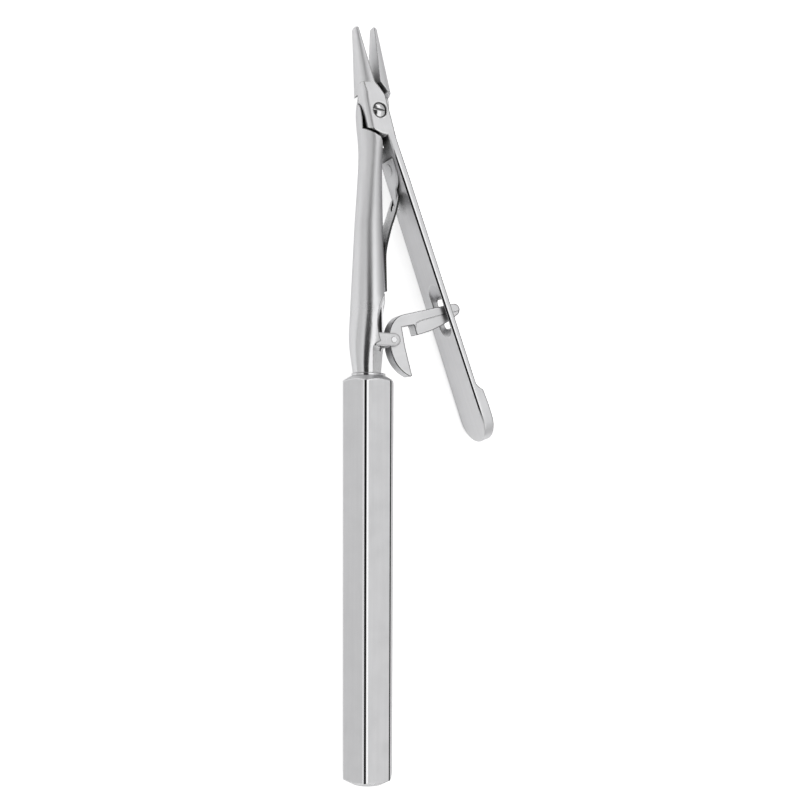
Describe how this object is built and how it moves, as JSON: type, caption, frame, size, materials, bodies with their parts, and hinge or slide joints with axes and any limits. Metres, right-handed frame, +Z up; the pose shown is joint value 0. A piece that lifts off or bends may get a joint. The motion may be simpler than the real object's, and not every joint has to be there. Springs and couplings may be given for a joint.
{
  "type": "surgical needle holder",
  "caption": "Stainless needle holder with hexagonal handle, lap-jointed jaws, side lever, leaf springs and self-latching catch.",
  "frame": {"origin": "middle of the handle's lower flat, half way along the handle", "axes": "+Y along the handle to the jaw tips, +X to the side of the lever, +Z up from the flat it rests on"},
  "size_m": [0.0285, 0.1305, 0.0084],
  "materials": {
    "handle": "satin ground flats",
    "shank": "polished",
    "lever": "satin with polished edges",
    "screw": "polished",
    "spring": "polished spring steel",
    "latch": "satin front, polished edges",
    "pin": "polished",
    "rivet": "polished"
  },
  "bodies": {
    "handle_body": {"handle": "handle", "shank": "shank", "joint_screw": "screw", "neck_spring": "spring", "neck_spring_rivet": "rivet", "latch_pin": "pin", "latch_spring": "spring", "latch_spring_rivet": "rivet"},
    "lever_body": {"lever": "lever", "lever_spring": "spring", "lever_spring_rivet": "rivet"},
    "latch_body": {"latch": "latch"}
  },
  "joints": [
    {"name": "lever_hinge", "type": "hinge", "parent": "handle_body", "child": "lever_body", "pos_m": [0.00074, 0.0803, 0.0042], "axis": [0, 0, 1], "range_deg": [-11.8, 0], "deforming": ["neck_spring", "lever_spring"]},
    {"name": "latch_hinge", "type": "hinge", "parent": "handle_body", "child": "latch_body", "pos_m": [0.00343, 0.04215, 0.0042], "axis": [0, 0, 1], "range_deg": [-6.5, 2]}
  ]
}
